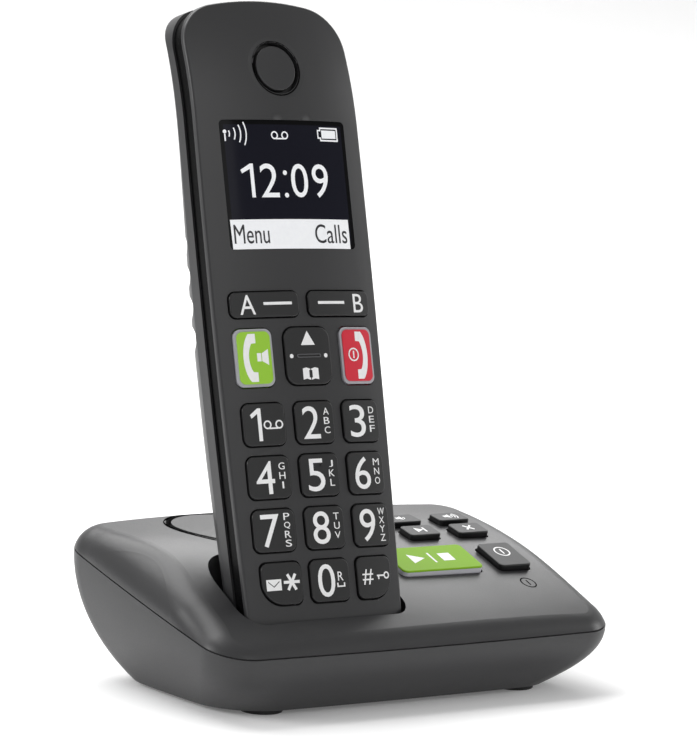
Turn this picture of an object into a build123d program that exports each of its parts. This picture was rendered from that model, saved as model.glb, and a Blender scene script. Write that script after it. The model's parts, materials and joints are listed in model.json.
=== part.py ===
"""Cordless telephone with its answering-machine base, as separate pieces.

World frame: +Z up, X across the handset (right positive), front towards -Y.  The origin is on
the floor, under the middle of the base.  Millimetres.
Handset frame: x across the face, y along the handset towards the earpiece, z out of the face.
Its origin is the middle of the number-key block, on the crown of the face.
"""
from build123d import *
import os
from math import cos, radians, sin, sqrt, tan

os.makedirs("parts", exist_ok=True)

# ---------------------------------------------------------------- driving dimensions: base
base_width = 128.4            # parting-line outline, left to right
base_depth = 80.4             # parting-line outline, front to back
base_corner = 11.0            # plan corner radius at the parting line
floor_corner = 16.0           # and at the underside
base_bulge = 1.0              # outward bow of each side of the outline
parting_front = 16.5          # height of the parting line at the front edge
parting_tilt = 12.9           # the parting plane rises to the back, degrees
base_wall = 2.2
groove_height, groove_depth = 0.35, 0.5
foot_height = 1.2
foot_radius = 5.5
front_foot = (40.5, -23.2)
back_foot = (37.6, 21.4)
floor_inset_side = 10.0       # how far the underside lies inside the parting outline
floor_inset_front = 9.8
floor_inset_back = 12.6
roll_width = 18.0             # rolled edge of the top housing, in plan
roll_height = 14.0            # and in height
top_fillet = 8.0

# height of the top surface at these distances from front to back, left dome and right slope
profile_y = (-52.0, -34.0, -20.0, -5.0, 10.0, 25.0, 36.0, 52.0)
left_dome = (11.0, 22.6, 30.0, 36.4, 39.6, 40.6, 40.9, 40.7)
right_slope = (12.5, 22.6, 28.5, 33.8, 37.6, 40.0, 41.0, 41.4)
left_drop = 2.4               # the dome falls away towards the left end
right_drop = 1.9              # the slope falls away towards the right end

# ---------------------------------------------------------------- driving dimensions: handset
lean = 14.66                  # handset leans back from vertical, degrees
handset_x = -25.0             # key-block centre in the world frame
handset_y = -23.2
handset_z = 52.7
handset_bottom = -40.5        # ends of the handset along its own length
handset_top = 130.3
outline_shift = -0.5          # the casing's middle lies left of the key block's
half_width_bottom = 23.4
half_width_middle = 25.3
half_width_top = 24.8
top_bulge = 3.6               # rise of the top end's arc
top_corner = 12.0
bottom_corner = 10.5
crown_radius = 142.4          # the face is crowned across its width
bend_start = 97.0             # the face curves back from here to the top end
bend_radius = 108.0
shell_wall = 1.8
front_edge = 3.6              # depth of the front shell's rim, from the crown line
band_end = 7.6                # depth where the black band gives way to the rear shell
band_recess = 0.6
rear_flank = 1.8              # straight part of the rear shell's side, behind the band
# behind the flank the rear shell is half an ellipse: place along the handset, depth behind the band
back_stations = (
    (-40.5, 10.5), (-37.0, 12.0), (-30.0, 13.2), (-18.0, 14.2), (-5.0, 15.4), (8.0, 16.7), (25.0, 17.2),
    (45.0, 17.1), (57.0, 16.3), (68.0, 14.8), (80.0, 13.0), (95.0, 11.2), (110.0, 10.3), (120.0, 9.3),
    (127.0, 7.6), (131.5, 5.6),
)

# keys on the handset: pitch, sizes, travel
column_pitch = 15.0
row_pitch = 13.4
key_width = 11.9
key_height = 10.76
key_corner = 2.0
key_proud = 0.7
key_clear = 0.35
key_flange = 0.8
key_flange_thick = 0.8
key_travel = 0.6
flange_gap = 0.2              # running gap between a key's flange and the shell above it
rocker_gap = 0.45             # the same for the navigation rocker, which tilts
soft_bottom, soft_top = 47.3, 53.8
soft_inner, soft_outer = 1.5, 21.5
call_bottom, call_top = 29.7, 44.4
call_inner, call_outer = 10.6, 21.3
nav_half_width = 7.0
nav_bottom, nav_top = 29.8, 44.5
nav_corner = 3.0
rocker_pivot_depth, rocker_pivot_radius, rocker_pivot_length = 4.2, 0.7, 8.0

# display and earpiece
window_width, window_height, window_centre = 38.9, 33.4, 81.4
window_thick = 1.4
window_ledge = 1.9
ear_centre = 112.0
ear_slot_outer, ear_slot_inner = 7.0, 6.0
ear_dish_radius, ear_dish_depth = 11.0, 0.7

# two AAA cells behind a lift-off door
cell_radius, cell_length = 5.25, 44.5
cell_gap = 0.6
bay_bottom, bay_length = 4.0, 51.5
bay_wall = 1.2
door_margin = 3.0
door_clear = 0.2
contact_plate_height = 8.0
ledge_width, ledge_thick = 1.5, 1.2

# circuit board and key mat of the handset
board_face = 8.2
board_thick = 1.2
mat_thick = 0.8
stem_bottom = 6.5             # depth of the end of each key's stem
stem_size = 4.0

# cradle well in the base
well_side_gap = 1.9
well_front_gap = 0.5
well_depth = 23.3             # from the crown of the face to the well's back wall
well_floor_gap = 0.3
well_wall = 1.6
well_corner = 6.0             # front corners of the well
well_back_corner = 11.0       # its back corners follow the rounded back of the handset

# charging contacts
contact_x, contact_depth = 11.0, 12.0
contact_width, contact_height, contact_thick = 6.0, 5.0, 0.6
contact_recess = 0.2
pin_gap = 0.3                 # between a pin at rest and its contact
pin_radius, pin_travel, pin_clear = 1.5, 0.8, 0.15

# base keys: three rows that follow the slope of the top
column_x = (13.4, 29.5, 45.8)
row_y = (15.0, 6.4, -9.6)     # back row to front row
row_tilt = (9.5, 14.0, 19.5)
small_key = (10.0, 5.9)
middle_key = (10.0, 6.3)
power_size = (10.4, 12.2)
play_size = (26.4, 12.4)
base_key_proud = 1.6
base_key_clear = 0.4
base_key_travel = 0.8
base_flange = 0.7
base_flange_depth, base_flange_thick = 3.3, 0.7
base_board_gap = 0.1          # board above the parting plane
base_board_thick = 1.6
base_mat_thick = 0.5
base_mat_front = 4.5           # the key mat starts this far behind the board's front edge
board_left, board_right, board_front, board_back = 5.6, 54.0, -18.5, 18.4
board_posts = ((37.65, -9.6), (21.45, 6.0), (37.65, 10.7))
board_post_radius = 1.8

# loudspeaker under a flush disc
speaker_x, speaker_y, speaker_tilt = -26.0, 17.6, 4.4
speaker_hole, speaker_disc_radius = 15.8, 14.4
speaker_radius, speaker_rim, speaker_depth = 14.3, 3.0, 8.0
speaker_seat_wall = 3.0

# sockets in the back wall of the lower housing
socket_face = 31.4            # distance of the sockets' faces from the middle
socket_low = 8.0
line_x, line_size, line_mouth = 11.5, (13.6, 14.0, 12.6), (9.8, 6.8)
power_x, power_block, power_mouth = 26.2, (11.0, 14.0, 12.6), (7.8, 6.6)
mouth_depth = 10.5
socket_clear = 0.3

# screws that hold the two base housings together
base_screw_places = ((40.5, -23.2, 3.3), (37.6, 21.4, 4.5), (-49.0, 10.0, 5.0))
screw_post_radius, upper_post_radius = 4.2, 2.8
screw_well_radius, base_head_radius, base_head_height = 3.0, 2.6, 1.8
base_shank_radius, screw_web = 1.3, 3.0

# ---------------------------------------------------------------- shared helpers
parting_slope = tan(radians(parting_tilt))
half_x, half_y = base_width / 2, base_depth / 2


def parting_height(y):
    """Height of the parting plane at this distance from front to back."""
    return parting_front + parting_slope * (y + half_y)


def outline(half_a, half_b, corner, bulge):
    """Rounded rectangle with slightly bowed sides, centred on the origin."""
    a, b = half_a - bulge, half_b - bulge
    sides = [
        ThreePointArc((-a, -b), (0, -half_b), (a, -b)),
        ThreePointArc((a, -b), (half_a, 0), (a, b)),
        ThreePointArc((a, b), (0, half_b), (-a, b)),
        ThreePointArc((-a, b), (-half_a, 0), (-a, -b)),
    ]
    face = make_face(sides)
    return fillet(face.vertices(), corner)


def solid_between(sketch, low, high):
    """Straight prism of a sketch between two heights of its own frame."""
    return Pos(0, 0, low) * extrude(sketch, amount=high - low)


def hull(shrink, floor_height, levels=(0.0, 0.34, 0.66, 1.0)):
    """Lower housing's outside: the parting outline drawn in towards the floor."""
    sections = []
    for level in levels:
        inward = level ** 2.1
        slope = (1 - level) * parting_slope
        front = -half_y + floor_inset_front * inward + shrink
        back = half_y - floor_inset_back * inward - shrink
        centre = (front + back) / 2
        height = (1 - level) * parting_height(centre) + level * floor_height
        stretch = sqrt(1 + slope ** 2)
        tilt = Plane((0, centre, height), x_dir=(1, 0, 0), z_dir=(0, -slope, 1))
        half_a = half_x - floor_inset_side * inward - shrink
        half_b = (back - front) / 2 * stretch
        corner = base_corner + (floor_corner - base_corner) * inward - shrink
        sections.append(tilt * outline(half_a, half_b, corner, base_bulge))
    return loft(sections)


def pillow(shrink, levels=(0.0, 0.3, 0.55, 0.75, 0.88, 0.96)):
    """Upper housing's rolled side, in planes parallel to the parting plane."""
    sections = []
    stretch = sqrt(1 + parting_slope ** 2)
    for level in levels:
        inset = roll_width * (1 - sqrt(1 - level ** 2)) + shrink
        lift = roll_height * level
        plane = Plane((0, 0, parting_height(0)), x_dir=(1, 0, 0), z_dir=(0, -parting_slope, 1))
        plane = plane.offset(lift)
        corner = base_corner + 0.25 * inset - shrink
        sections.append(plane * outline(half_x - inset, half_y * stretch - inset, corner, base_bulge))
    return loft(sections)


def top_prism(lower_by):
    """Everything under the top surface: side profiles lofted from left to right."""
    stations = (
        (-half_x - 4, left_dome, left_drop),
        (-half_x * 0.55, left_dome, 0.2),
        (column_x[0] - 4, right_slope, 0.0),
        (column_x[2], right_slope, 0.5),
        (half_x + 4, right_slope, right_drop),
    )
    sections = []
    for x, heights, drop in stations:
        points = [(y, z - drop - lower_by) for y, z in zip(profile_y, heights)]
        crest = Spline(points)
        first, last = points[0], points[-1]
        back = Line(last, (last[0], -5))
        under = Line((last[0], -5), (first[0], -5))
        front = Line((first[0], -5), first)
        side = Plane((x, 0, 0), x_dir=(0, 1, 0), z_dir=(1, 0, 0))
        sections.append(side * make_face([crest, back, under, front]))
    return loft(sections)


def surface_height(solid, x, y):
    """Height of a solid's top surface above this point."""
    hits = solid.find_intersection_points(Axis((x, y, 0), (0, 0, 1)))
    return max(point.Z for point, _ in hits)


# ---------------------------------------------------------------- handset frame
tilt = radians(lean)
handset_plane = Plane((handset_x, handset_y, handset_z), x_dir=(1, 0, 0), z_dir=(0, -cos(tilt), sin(tilt)))


def place(shape):
    """Carry a shape from the handset frame into the world frame."""
    return handset_plane.location * shape


def save(shape, name):
    """Write one node as a STEP file."""
    solids = list(shape.solids())
    export_step(solids[0] if len(solids) == 1 else Compound(solids), f"parts/{name}.step")


# path of the face's crown line: straight, then bending back
reach = 27.0
path_start = handset_bottom - 15
bend_angle = 22.0
straight = Line((0, path_start, 0), (0, bend_start, 0))
bend_mid, bend_end = radians(bend_angle / 2), radians(bend_angle)
bend = ThreePointArc(
    (0, bend_start, 0),
    (0, bend_start + bend_radius * sin(bend_mid), bend_radius * (cos(bend_mid) - 1)),
    (0, bend_start + bend_radius * sin(bend_end), bend_radius * (cos(bend_end) - 1)),
)
face_path = Wire([straight, bend])
section_plane = Plane((0, path_start, 0), x_dir=(1, 0, 0), z_dir=(0, -1, 0))


def crown(across, depth):
    """Height of the crowned surface at this distance from the middle, at this depth."""
    return sqrt((crown_radius - depth) ** 2 - across ** 2) - crown_radius


def crowned(top, bottom):
    """Slab between a crowned upper face and a flat lower face, following the face path."""
    edge = crown(reach, top)
    crest = ThreePointArc((-reach, edge), (0, -top), (reach, edge))
    right = Line((reach, edge), (reach, -bottom))
    under = Line((reach, -bottom), (-reach, -bottom))
    left = Line((-reach, -bottom), (-reach, edge))
    return sweep(section_plane * make_face([crest, right, under, left]), path=face_path)


def layer(top, bottom):
    """Skin between two crowned faces, following the face path."""
    high, low = crown(reach, top), crown(reach, bottom)
    crest = ThreePointArc((-reach, high), (0, -top), (reach, high))
    right = Line((reach, high), (reach, low))
    under = ThreePointArc((reach, low), (0, -bottom), (-reach, low))
    left = Line((-reach, low), (-reach, high))
    return sweep(section_plane * make_face([crest, right, under, left]), path=face_path)


def handset_outline(inset):
    """Plan of the handset, drawn in by an inset."""
    low, high = handset_bottom + inset, handset_top - top_bulge - inset
    bottom, middle, top = (w - inset for w in (half_width_bottom, half_width_middle, half_width_top))
    edges = [
        Line((-bottom, low), (bottom, low)),
        ThreePointArc((bottom, low), (middle, (low + high) / 2), (top, high)),
        ThreePointArc((top, high), (0, high + top_bulge), (-top, high)),
        ThreePointArc((-top, high), (-middle, (low + high) / 2), (-bottom, low)),
    ]
    face = Pos(outline_shift, 0) * make_face(edges)
    lower = face.vertices().group_by(Axis.Y)[0]
    face = fillet(lower, bottom_corner - inset)
    upper = face.vertices().group_by(Axis.Y)[-1]
    return fillet(upper, top_corner - inset)


def rounded(width, height, corner, x=0.0, y=0.0):
    """Rounded rectangle at a place in its own plane."""
    return Pos(x, y) * RectangleRounded(width, height, corner)


# ---------------------------------------------------------------- handset shells
outer_prism = solid_between(handset_outline(0), -40, 10)
inner_prism = solid_between(handset_outline(shell_wall), -40, 10)

front_block = outer_prism & crowned(0, front_edge)
front_rim = front_block.edges().filter_by(lambda e: e.center().Z > -front_edge + 0.3)
front_block = fillet(front_rim.filter_by(lambda e: e.length > 5), 0.7)
front_shell = front_block - (inner_prism & crowned(shell_wall, front_edge + 1))

band_prism = solid_between(handset_outline(band_recess), -40, 10)
side_band = (band_prism & (crowned(0, band_end) - crowned(-1, front_edge))) - inner_prism


def half_width(y):
    """Half the handset's width at this place along it."""
    middle = (handset_bottom + handset_top - top_bulge) / 2
    t = (y - middle) / (middle - handset_bottom)
    rise = (half_width_top + half_width_bottom) / 2 - half_width_middle
    return half_width_middle + t * (half_width_top - half_width_bottom) / 2 + t * t * rise


def bend_drop(y):
    """How far the face has curved back at this place along the handset."""
    return 0.0 if y < bend_start else bend_radius - sqrt(bend_radius ** 2 - (y - bend_start) ** 2)


def back_form(shrink):
    """Half-elliptical sections of the rear shell, lofted along the handset."""
    sections = []
    for y, depth in back_stations:
        middle = -band_end - rear_flank - bend_drop(y)
        a, b = half_width(y) + 0.15 - shrink, depth - rear_flank - shrink
        bowl = EllipticalCenterArc((0, middle), a, b, start_angle=180, arc_size=180)
        high = middle + band_end + rear_flank + 2
        right = Line((a, middle), (a, high))
        top = Line((a, high), (-a, high))
        left = Line((-a, high), (-a, middle))
        plane = Plane((outline_shift, y, 0), x_dir=(1, 0, 0), z_dir=(0, -1, 0))
        sections.append(plane * make_face([bowl, right, top, left]))
    return loft(sections)


above_back = crowned(-8, band_end)
back_solid = back_form(0)
rear_block = (outer_prism & back_solid) - above_back
inner_end = solid_between(handset_outline(shell_wall), -40, 2)
rear_cavity = inner_end & back_form(shell_wall)
rear_shell = rear_block - rear_cavity


def back_depth(x, y):
    """Depth of the rear shell's outside behind this point of the face."""
    hits = rear_block.find_intersection_points(Axis((x, y, -60), (0, 0, 1)))
    return min(point.Z for point, _ in hits)


# battery bay: a tray behind the board, closed by a door cut from the shell's own skin
bay_half = 2 * cell_radius + cell_gap / 2 + 0.7
bay_top = bay_bottom + bay_length
bay_middle = bay_bottom + bay_length / 2
bay_roof = -(board_face + board_thick + 0.2 + bay_wall)
door_width = 2 * (bay_half + bay_wall + door_margin)
door_height = bay_length + 2 * (bay_wall + door_margin)
tray_plan = Pos(0, bay_middle) * Rectangle(2 * (bay_half + bay_wall), bay_length + 2 * bay_wall)
tray = solid_between(tray_plan, -30, bay_roof + bay_wall)
bay_inner = solid_between(Pos(0, bay_middle) * Rectangle(2 * bay_half, bay_length), -30, bay_roof)
ledge_plan = rounded(door_width + 2 * ledge_width, door_height + 2 * ledge_width, 4.0, 0, bay_middle)
pocket_plan = rounded(door_width + 2 * door_clear, door_height + 2 * door_clear, 3.0, 0, bay_middle)
seat_form = back_form(shell_wall + 0.1)
ledge = solid_between(ledge_plan, -30, -10) & (back_form(shell_wall - 0.3) - back_form(shell_wall + ledge_thick))
pocket = solid_between(pocket_plan, -30, -10) - seat_form
rear_shell = rear_shell + ledge + (tray & seat_form) - pocket - bay_inner
door_plan = rounded(door_width, door_height, 2.8, 0, bay_middle)
battery_door = solid_between(door_plan, -30, -10) & (rear_block - rear_cavity)
grip_y = bay_bottom + 2.0
battery_door -= Pos(0, grip_y, back_depth(0, grip_y)) * Box(14, 1.6, 1.6)

# grip waves on both flanks, each a shallow scallop across the rounding
wave_radius, wave_depth, wave_pitch, wave_first = 7.0, 0.6, 8.0, 44.0
wave_slope = 35.0             # the flank's outward normal there turns back by this angle
for index in range(4):
    y = wave_first + index * wave_pitch
    turn = radians(wave_slope)
    a, b = half_width(y), 14.6
    lean_of_arc = tan(turn) * b / a
    spot_x = a / sqrt(1 + lean_of_arc ** 2)
    spot_z = -band_end - rear_flank - b * lean_of_arc / sqrt(1 + lean_of_arc ** 2)
    for side in (-1, 1):
        out = wave_radius - wave_depth
        centre = (outline_shift + side * (spot_x + out * cos(turn)), y, spot_z - out * sin(turn))
        plane = Plane(centre, x_dir=(0, 1, 0), z_dir=(side * sin(turn), 0, cos(turn)))
        rear_shell -= plane * Cylinder(wave_radius, 9.0)

# handsfree loudspeaker with its slots in the back
handsfree_y, handsfree_radius, handsfree_back = 75.0, 9.0, 17.9
for offset in (-5.0, -2.5, 0.0, 2.5, 5.0):
    slot = Pos(0, handsfree_y + offset, back_depth(0, handsfree_y + offset)) * Box(13, 1.1, 4 * shell_wall)
    rear_shell -= slot
handsfree_speaker = Pos(0, handsfree_y, 2.0 - handsfree_back) * Cylinder(handsfree_radius, 4.0)
handsfree_speaker += Pos(0, handsfree_y, 4.7 - handsfree_back) * Cylinder(5.5, 1.6)

# screws near the four corners, through posts of the rear shell
screw_places = ((-15.5, -31.9), (15.5, -31.9), (-15.5, 113.0), (15.5, 113.0))
screw_radius, screw_head, head_height, head_cover = 1.1, 2.2, 1.4, 2.6
handset_screws = Part()
for x, y in screw_places:
    outside = back_depth(x, y)
    post_top = -(band_end - 1.0) - bend_drop(y)
    post = Pos(x, y, (post_top - 30) / 2) * Cylinder(3.2, post_top + 30)
    rear_shell += post & inner_end & back_solid
    head_seat = outside + head_cover
    rear_shell -= Pos(x, y, head_seat - 5) * Cylinder(screw_head + 0.05, 10)
    rear_shell -= Pos(x, y, -14) * Cylinder(screw_radius + 0.03, 22)
    handset_screws += Pos(x, y, head_seat - head_height / 2) * Cylinder(screw_head, head_height)
    shank_top = post_top - 0.3
    handset_screws += Pos(x, y, (head_seat + shank_top) / 2 - 0.05) * Cylinder(screw_radius, shank_top - head_seat + 0.1)

# ---------------------------------------------------------------- handset front features
window_hole = rounded(window_width, window_height, 1.2, 0, window_centre)
view_hole = rounded(window_width - 2 * window_ledge, window_height - 2 * window_ledge, 0.8, 0, window_centre)
frame_seat = solid_between(rounded(window_width + 3.2, window_height + 3.2, 1.6, 0, window_centre), -9, 3)
front_shell += frame_seat & layer(0.4, shell_wall + 0.5)
front_shell -= solid_between(window_hole, -9, 3) & layer(-2, window_thick + 0.05)
front_shell -= solid_between(view_hole, -9, 3)
window_plate = rounded(window_width - 0.1, window_height - 0.1, 1.15, 0, window_centre)
display_window = solid_between(window_plate, -9, 3) & layer(0.05, window_thick + 0.05)

ear_turn = (ear_centre - bend_start) / bend_radius
ear_drop = bend_drop(ear_centre)
ear_plane = Plane((0, ear_centre, -ear_drop), x_dir=(1, 0, 0), z_dir=(0, ear_turn, 1))
dish_radius = (ear_dish_radius ** 2 + ear_dish_depth ** 2) / (2 * ear_dish_depth)
front_shell -= ear_plane * Pos(0, 0, dish_radius - ear_dish_depth) * Sphere(dish_radius)
front_shell -= ear_plane * Cylinder(ear_slot_outer, 12)
ear_disc_top = -ear_dish_depth + 0.25
earpiece_disc = ear_plane * Pos(0, 0, ear_disc_top - 0.8) * Cylinder(ear_slot_inner, 1.6)
earpiece_disc = fillet(earpiece_disc.faces().sort_by(Axis.Z)[-1].edges(), 0.3)
receiver_top = -(shell_wall + 0.75)
earpiece_receiver = ear_plane * Pos(0, 0, receiver_top - 1.6) * Cylinder(8.6, 3.2)
earpiece_receiver += ear_plane * Pos(0, 0, receiver_top + 0.1) * Cylinder(5.0, 0.4)

mic_x, mic_y = 0.0, -34.5
front_shell -= Pos(mic_x, mic_y, 0) * Cylinder(0.6, 8)
microphone = Pos(mic_x, mic_y, -shell_wall - 0.1 - 1.1) * Cylinder(3.0, 2.2)

# ---------------------------------------------------------------- handset keys
def flange_skins(gap):
    """Layers for a key's cap and for its flange, with this gap under the shell."""
    under = shell_wall + gap
    return layer(-key_proud, under), layer(under, under + key_flange_thick)


press_skins, rocker_skins = flange_skins(flange_gap), flange_skins(rocker_gap)


def handset_key(cap, flange, hole, stem_at, skins=press_skins):
    """Cap, retaining flange and stem of one key; returns the key and its cut in the shell."""
    cap_skin, flange_skin = skins
    body = solid_between(cap, -9, 3) & cap_skin
    lip = body.faces().sort_by(Axis.Z)[-1].edges()
    body = fillet(lip, 0.35)
    body += solid_between(flange, -9, 3) & flange_skin
    x, y = stem_at
    stem_top = -(shell_wall + flange_gap) + crown(abs(x) + stem_size / 2, 0) - 0.2
    stem = Pos(x, y, (stem_top - stem_bottom) / 2) * Box(stem_size, stem_size, stem_bottom + stem_top)
    return body + stem, solid_between(hole, -9, 3)


def regular_key(x, y):
    """One number key of the block."""
    grow = key_flange
    return handset_key(
        rounded(key_width, key_height, key_corner, x, y),
        rounded(key_width + 2 * grow, key_height + 2 * grow, key_corner, x, y),
        rounded(key_width + 2 * key_clear, key_height + 2 * key_clear, key_corner + key_clear, x, y),
        (x, y),
    )


def cornered(width, height, corner, swept, side, x, y, grow):
    """Rounded rectangle whose lower outer corner is swept round; side is -1 left, 1 right."""
    a, b = width / 2 + grow, height / 2 + grow
    face = Rectangle(2 * a, 2 * b)
    outer = [v for v in face.vertices() if v.Y < 0 and v.X * side > 0]
    rest = [v for v in face.vertices() if not (v.Y < 0 and v.X * side > 0)]
    face = fillet(rest, corner)
    outer = [v for v in face.vertices() if v.Y < -b + 0.01 and v.X * side > a - 0.01]
    return Pos(x, y) * fillet(outer, swept + grow)


def swept_key(side):
    """Star or hash key, whose outer lower corner follows the handset's end."""
    x = side * (column_pitch - 0.7)
    y = -1.5 * row_pitch
    sizes = (key_width - 0.6, key_height, key_corner, 6.0, side, x, y)
    return handset_key(cornered(*sizes, 0.0), cornered(*sizes, key_flange), cornered(*sizes, key_clear), (x, y))


def block_key(left, right, low, high, corner, skins=press_skins):
    """Key given by its limits."""
    x, y = (left + right) / 2, (low + high) / 2
    width, height = right - left, high - low
    grow = key_flange
    return handset_key(
        rounded(width, height, corner, x, y),
        rounded(width + 2 * grow, height + 2 * grow, corner, x, y),
        rounded(width + 2 * key_clear, height + 2 * key_clear, corner + key_clear, x, y),
        (x, y),
        skins,
    )


keys = {}
for number in range(1, 10):
    column, row = (number - 1) % 3 - 1, 1.5 - (number - 1) // 3
    keys[f"key_{number}"] = regular_key(column * column_pitch, row * row_pitch)
keys["key_0"] = regular_key(0, -1.5 * row_pitch)
keys["key_star"] = swept_key(-1)
keys["key_hash"] = swept_key(1)
keys["soft_key_a"] = block_key(-soft_outer, -soft_inner, soft_bottom, soft_top, 1.8)
keys["soft_key_b"] = block_key(soft_inner, soft_outer, soft_bottom, soft_top, 1.8)
keys["talk_key"] = block_key(-call_outer, -call_inner, call_bottom, call_top, key_corner)
keys["end_key"] = block_key(call_inner, call_outer, call_bottom, call_top, key_corner)
keys["nav_key"] = block_key(
    -nav_half_width, nav_half_width, nav_bottom, nav_top, nav_corner, rocker_skins
)

# round pivot pins on the stem of the navigation rocker
rocker_centre = (nav_bottom + nav_top) / 2
pivot = Pos(0, rocker_centre, -rocker_pivot_depth) * Rot(0, 90, 0) * Cylinder(rocker_pivot_radius, rocker_pivot_length)
rocker, rocker_hole = keys["nav_key"]
keys["nav_key"] = (rocker + pivot, rocker_hole)

for name, (body, hole) in keys.items():
    front_shell -= hole

# translucent rims round the coloured caps of the talk and end keys
rim_width, rim_drop = 0.7, 0.25
for name, left in (("talk_key", -call_outer), ("end_key", call_inner)):
    width, height = call_outer - call_inner, call_top - call_bottom
    x, y = left + width / 2, (call_bottom + call_top) / 2
    cap = rounded(width - 2 * rim_width, height - 2 * rim_width, key_corner - 0.4, x, y)
    body, hole = keys[name]
    core = solid_between(cap, -9, 3)
    band = layer(-key_proud - 1, 0.6) - core
    keys[name + "_rim"] = (body & band & layer(-key_proud + rim_drop, 0.6), None)
    keys[name] = (body - band, None)

# ---------------------------------------------------------------- handset insides
board_half = half_width_bottom + outline_shift - shell_wall - 0.4
board_low, board_high = -28.0, 103.0
board_shape = Pos(0, (board_low + board_high) / 2) * Rectangle(2 * board_half, board_high - board_low)
handset_board = solid_between(board_shape, -board_face - board_thick, -board_face)
handset_board = handset_board & crowned(0, 30)
board_high_clear = solid_between(Pos(0, 90) * Rectangle(60, 40), -30, 0) & crowned(-5, band_end)
handset_board = handset_board - board_high_clear
mat_low, mat_high = -27.0, 56.0
mat_shape = Pos(0, (mat_low + mat_high) / 2) * Rectangle(2 * board_half - 2, mat_high - mat_low)
keypad_mat = solid_between(mat_shape, -board_face, -board_face + mat_thick)
screen_front = 4.2
lcd_shape = Pos(0, window_centre - 0.6) * Rectangle(37.5, 31.0)
lcd_module = solid_between(lcd_shape, -board_face, -screen_front)

cell_centre = bay_roof - 0.3 - cell_radius
cell_low = bay_bottom + 5.4
battery_cells = {}
for side, name in ((-1, "battery_cell_left"), (1, "battery_cell_right")):
    x = side * (cell_radius + cell_gap / 2)
    can = Pos(x, cell_low + cell_length / 2, cell_centre) * Rot(90, 0, 0) * Cylinder(cell_radius, cell_length - 1)
    can = fillet(can.edges(), 0.5)
    nub_y = cell_low + (cell_length - 0.5 if side < 0 else 0.5)
    nub = Pos(x, nub_y, cell_centre) * Rot(90, 0, 0) * Cylinder(1.9, 1.0)
    battery_cells[name] = can + nub

battery_springs = Part()
for side in (-1, 1):
    x = side * (cell_radius + cell_gap / 2)
    plate = Pos(x, bay_bottom + 0.25, cell_centre) * Box(9.0, 0.4, contact_plate_height)
    coil_length = cell_low - bay_bottom - 0.55
    coil = Pos(x, bay_bottom + 0.45 + coil_length / 2, cell_centre) * Rot(90, 0, 0) * Cone(3.2, 1.6, coil_length)
    battery_springs += plate + coil
contact = Pos(0, bay_top - 0.25, cell_centre) * Box(2 * bay_half - 1.4, 0.4, contact_plate_height)
contact_gap = bay_top - 0.45 - (cell_low + cell_length)
for side in (-1, 1):
    x = side * (cell_radius + cell_gap / 2)
    bump_length = contact_gap - 0.1
    bump = Pos(x, bay_top - 0.45 - bump_length / 2, cell_centre) * Rot(90, 0, 0) * Cylinder(1.8, bump_length)
    contact += bump

charge_contacts = Part()
for side in (-1, 1):
    pocket = Pos(side * contact_x, handset_bottom + (contact_recess + contact_thick) / 2, -contact_depth)
    rear_shell -= pocket * Box(contact_width, contact_recess + contact_thick, contact_height)
    plate = Pos(side * contact_x, handset_bottom + contact_recess + contact_thick / 2, -contact_depth)
    charge_contacts += plate * Box(contact_width, contact_thick, contact_height)

# ---------------------------------------------------------------- base housings
under_top = top_prism(0)
top_block = pillow(0) & under_top
crest_face = top_block.faces().filter_by(lambda f: f.normal_at().Z > 0.85).sort_by(SortBy.AREA)[-1]
top_block = fillet(crest_face.edges(), top_fillet)
top_cavity = pillow(base_wall) & top_prism(base_wall)
wall_skin = top_block - top_cavity
parting_plane = Plane((0, 0, parting_height(0)), x_dir=(1, 0, 0), z_dir=(0, -parting_slope, 1))

hull_block = hull(0, foot_height)
hull_cavity = hull(base_wall, foot_height + base_wall)

# cradle well, a straight pocket along the handset's axis
well_half = half_width_bottom + 0.5 + well_side_gap
well_front, well_back = well_front_gap, -well_depth
well_low = handset_bottom - well_floor_gap
well_middle = (well_front + well_back) / 2


def well(grow, low, high):
    """Prism of the well along the handset axis, in the handset frame."""
    depth = well_front - well_back + 2 * grow
    shape = Rectangle(2 * (well_half + grow), depth)
    shape = fillet(shape.vertices().sort_by(Axis.Y)[-2:], well_back_corner + grow)
    shape = fillet(shape.vertices().sort_by(Axis.Y)[:2], well_corner + grow)
    plane = Plane((0, low, well_middle), x_dir=(1, 0, 0), z_dir=(0, 1, 0))
    return extrude(plane * shape, amount=high - low)


well_outside = place(well(well_wall, well_low - well_wall, 60)) & top_prism(0.6)
well_inside = place(well(0, well_low, 90))
base_top = wall_skin + well_outside - well_inside

# fine shadow groove along the parting line
groove_slab = extrude(parting_plane * Rectangle(2 * base_width, 2 * base_depth), amount=groove_height)
base_top -= groove_slab - pillow(groove_depth)

# loudspeaker, its flush disc and the seat round it
speaker_z = surface_height(wall_skin, speaker_x, speaker_y)
speaker_turn = radians(speaker_tilt)
speaker_plane = Plane(
    (speaker_x, speaker_y, speaker_z), x_dir=(1, 0, 0), z_dir=(0, -sin(speaker_turn), cos(speaker_turn))
)


def round_post(plane, radius, low, high):
    """Cylinder along a plane's normal between two heights of that plane."""
    return plane * Pos(0, 0, (low + high) / 2) * Cylinder(radius, high - low)


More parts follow.
